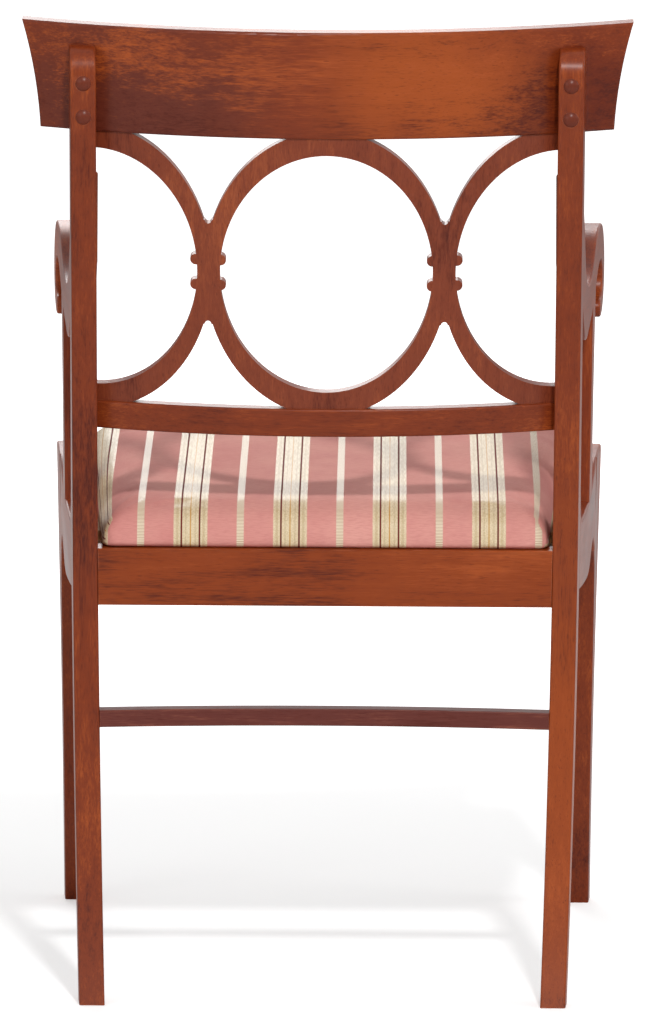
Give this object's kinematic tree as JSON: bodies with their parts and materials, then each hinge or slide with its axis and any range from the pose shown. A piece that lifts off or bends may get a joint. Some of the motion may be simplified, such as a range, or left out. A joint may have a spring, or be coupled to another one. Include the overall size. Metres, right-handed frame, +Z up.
{
  "type": "open armchair",
  "caption": "Klismos-style open armchair with a curved crest rail, pierced ring splat, sabre legs, scrolled arms and a loose upholstered seat.",
  "frame": {"origin": "centre of the bounding box at floor level", "axes": "+X to the sitter's left across the chair, +Y towards the back of the chair, +Z up"},
  "size_m": [0.5606, 0.5566, 0.9109],
  "materials": {
    "polished_wood": "red-brown stain under a semi-gloss clear coat",
    "plain_wood": "unfinished sawn hardwood",
    "striped_fabric": "woven satin stripe, salmon pink with cream and dark red lines",
    "padding": "cotton and foam padding",
    "webbing": "woven jute",
    "dust_cloth": "thin black cloth",
    "steel": "plain"
  },
  "bodies": {
    "frame": {"arm_dowels": "plain_wood", "cleat_screws": "steel", "corner_block_screws": "steel", "crest_plugs": "polished_wood", "crest_rail": "polished_wood", "crest_screws": "steel", "front_left_corner_block": "plain_wood", "front_rail_dowels": "plain_wood", "front_right_corner_block": "plain_wood", "front_seat_rail": "polished_wood", "left_arm": "polished_wood", "left_arm_support": "polished_wood", "left_front_leg": "polished_wood", "left_rear_leg": "polished_wood", "left_seat_cleat": "plain_wood", "left_side_rail": "polished_wood", "lower_back_rail": "polished_wood", "lower_rail_dowels": "plain_wood", "rear_left_corner_block": "plain_wood", "rear_rail_dowels": "plain_wood", "rear_right_corner_block": "plain_wood", "rear_seat_rail": "polished_wood", "rear_stretcher": "polished_wood", "right_arm": "polished_wood", "right_arm_support": "polished_wood", "right_front_leg": "polished_wood", "right_rear_leg": "polished_wood", "right_seat_cleat": "plain_wood", "right_side_rail": "polished_wood", "ring_splat": "polished_wood", "side_rail_dowels": "plain_wood", "stretcher_dowels": "plain_wood", "support_dowels": "plain_wood"},
    "seat": {"seat_rear_member": "plain_wood", "seat_front_member": "plain_wood", "seat_left_member": "plain_wood", "seat_right_member": "plain_wood", "seat_frame_dowels": "plain_wood", "lengthwise_webbing": "webbing", "crosswise_webbing": "webbing", "webbing_tacks": "steel", "seat_padding": "padding", "seat_cover": "striped_fabric", "dust_cover": "dust_cloth", "cover_staples": "steel"}
  },
  "joints": [
    {"name": "seat_lift", "type": "slide", "parent": "frame", "child": "seat", "axis": [0, 0, 1], "range_m": [0, 0.06]}
  ]
}
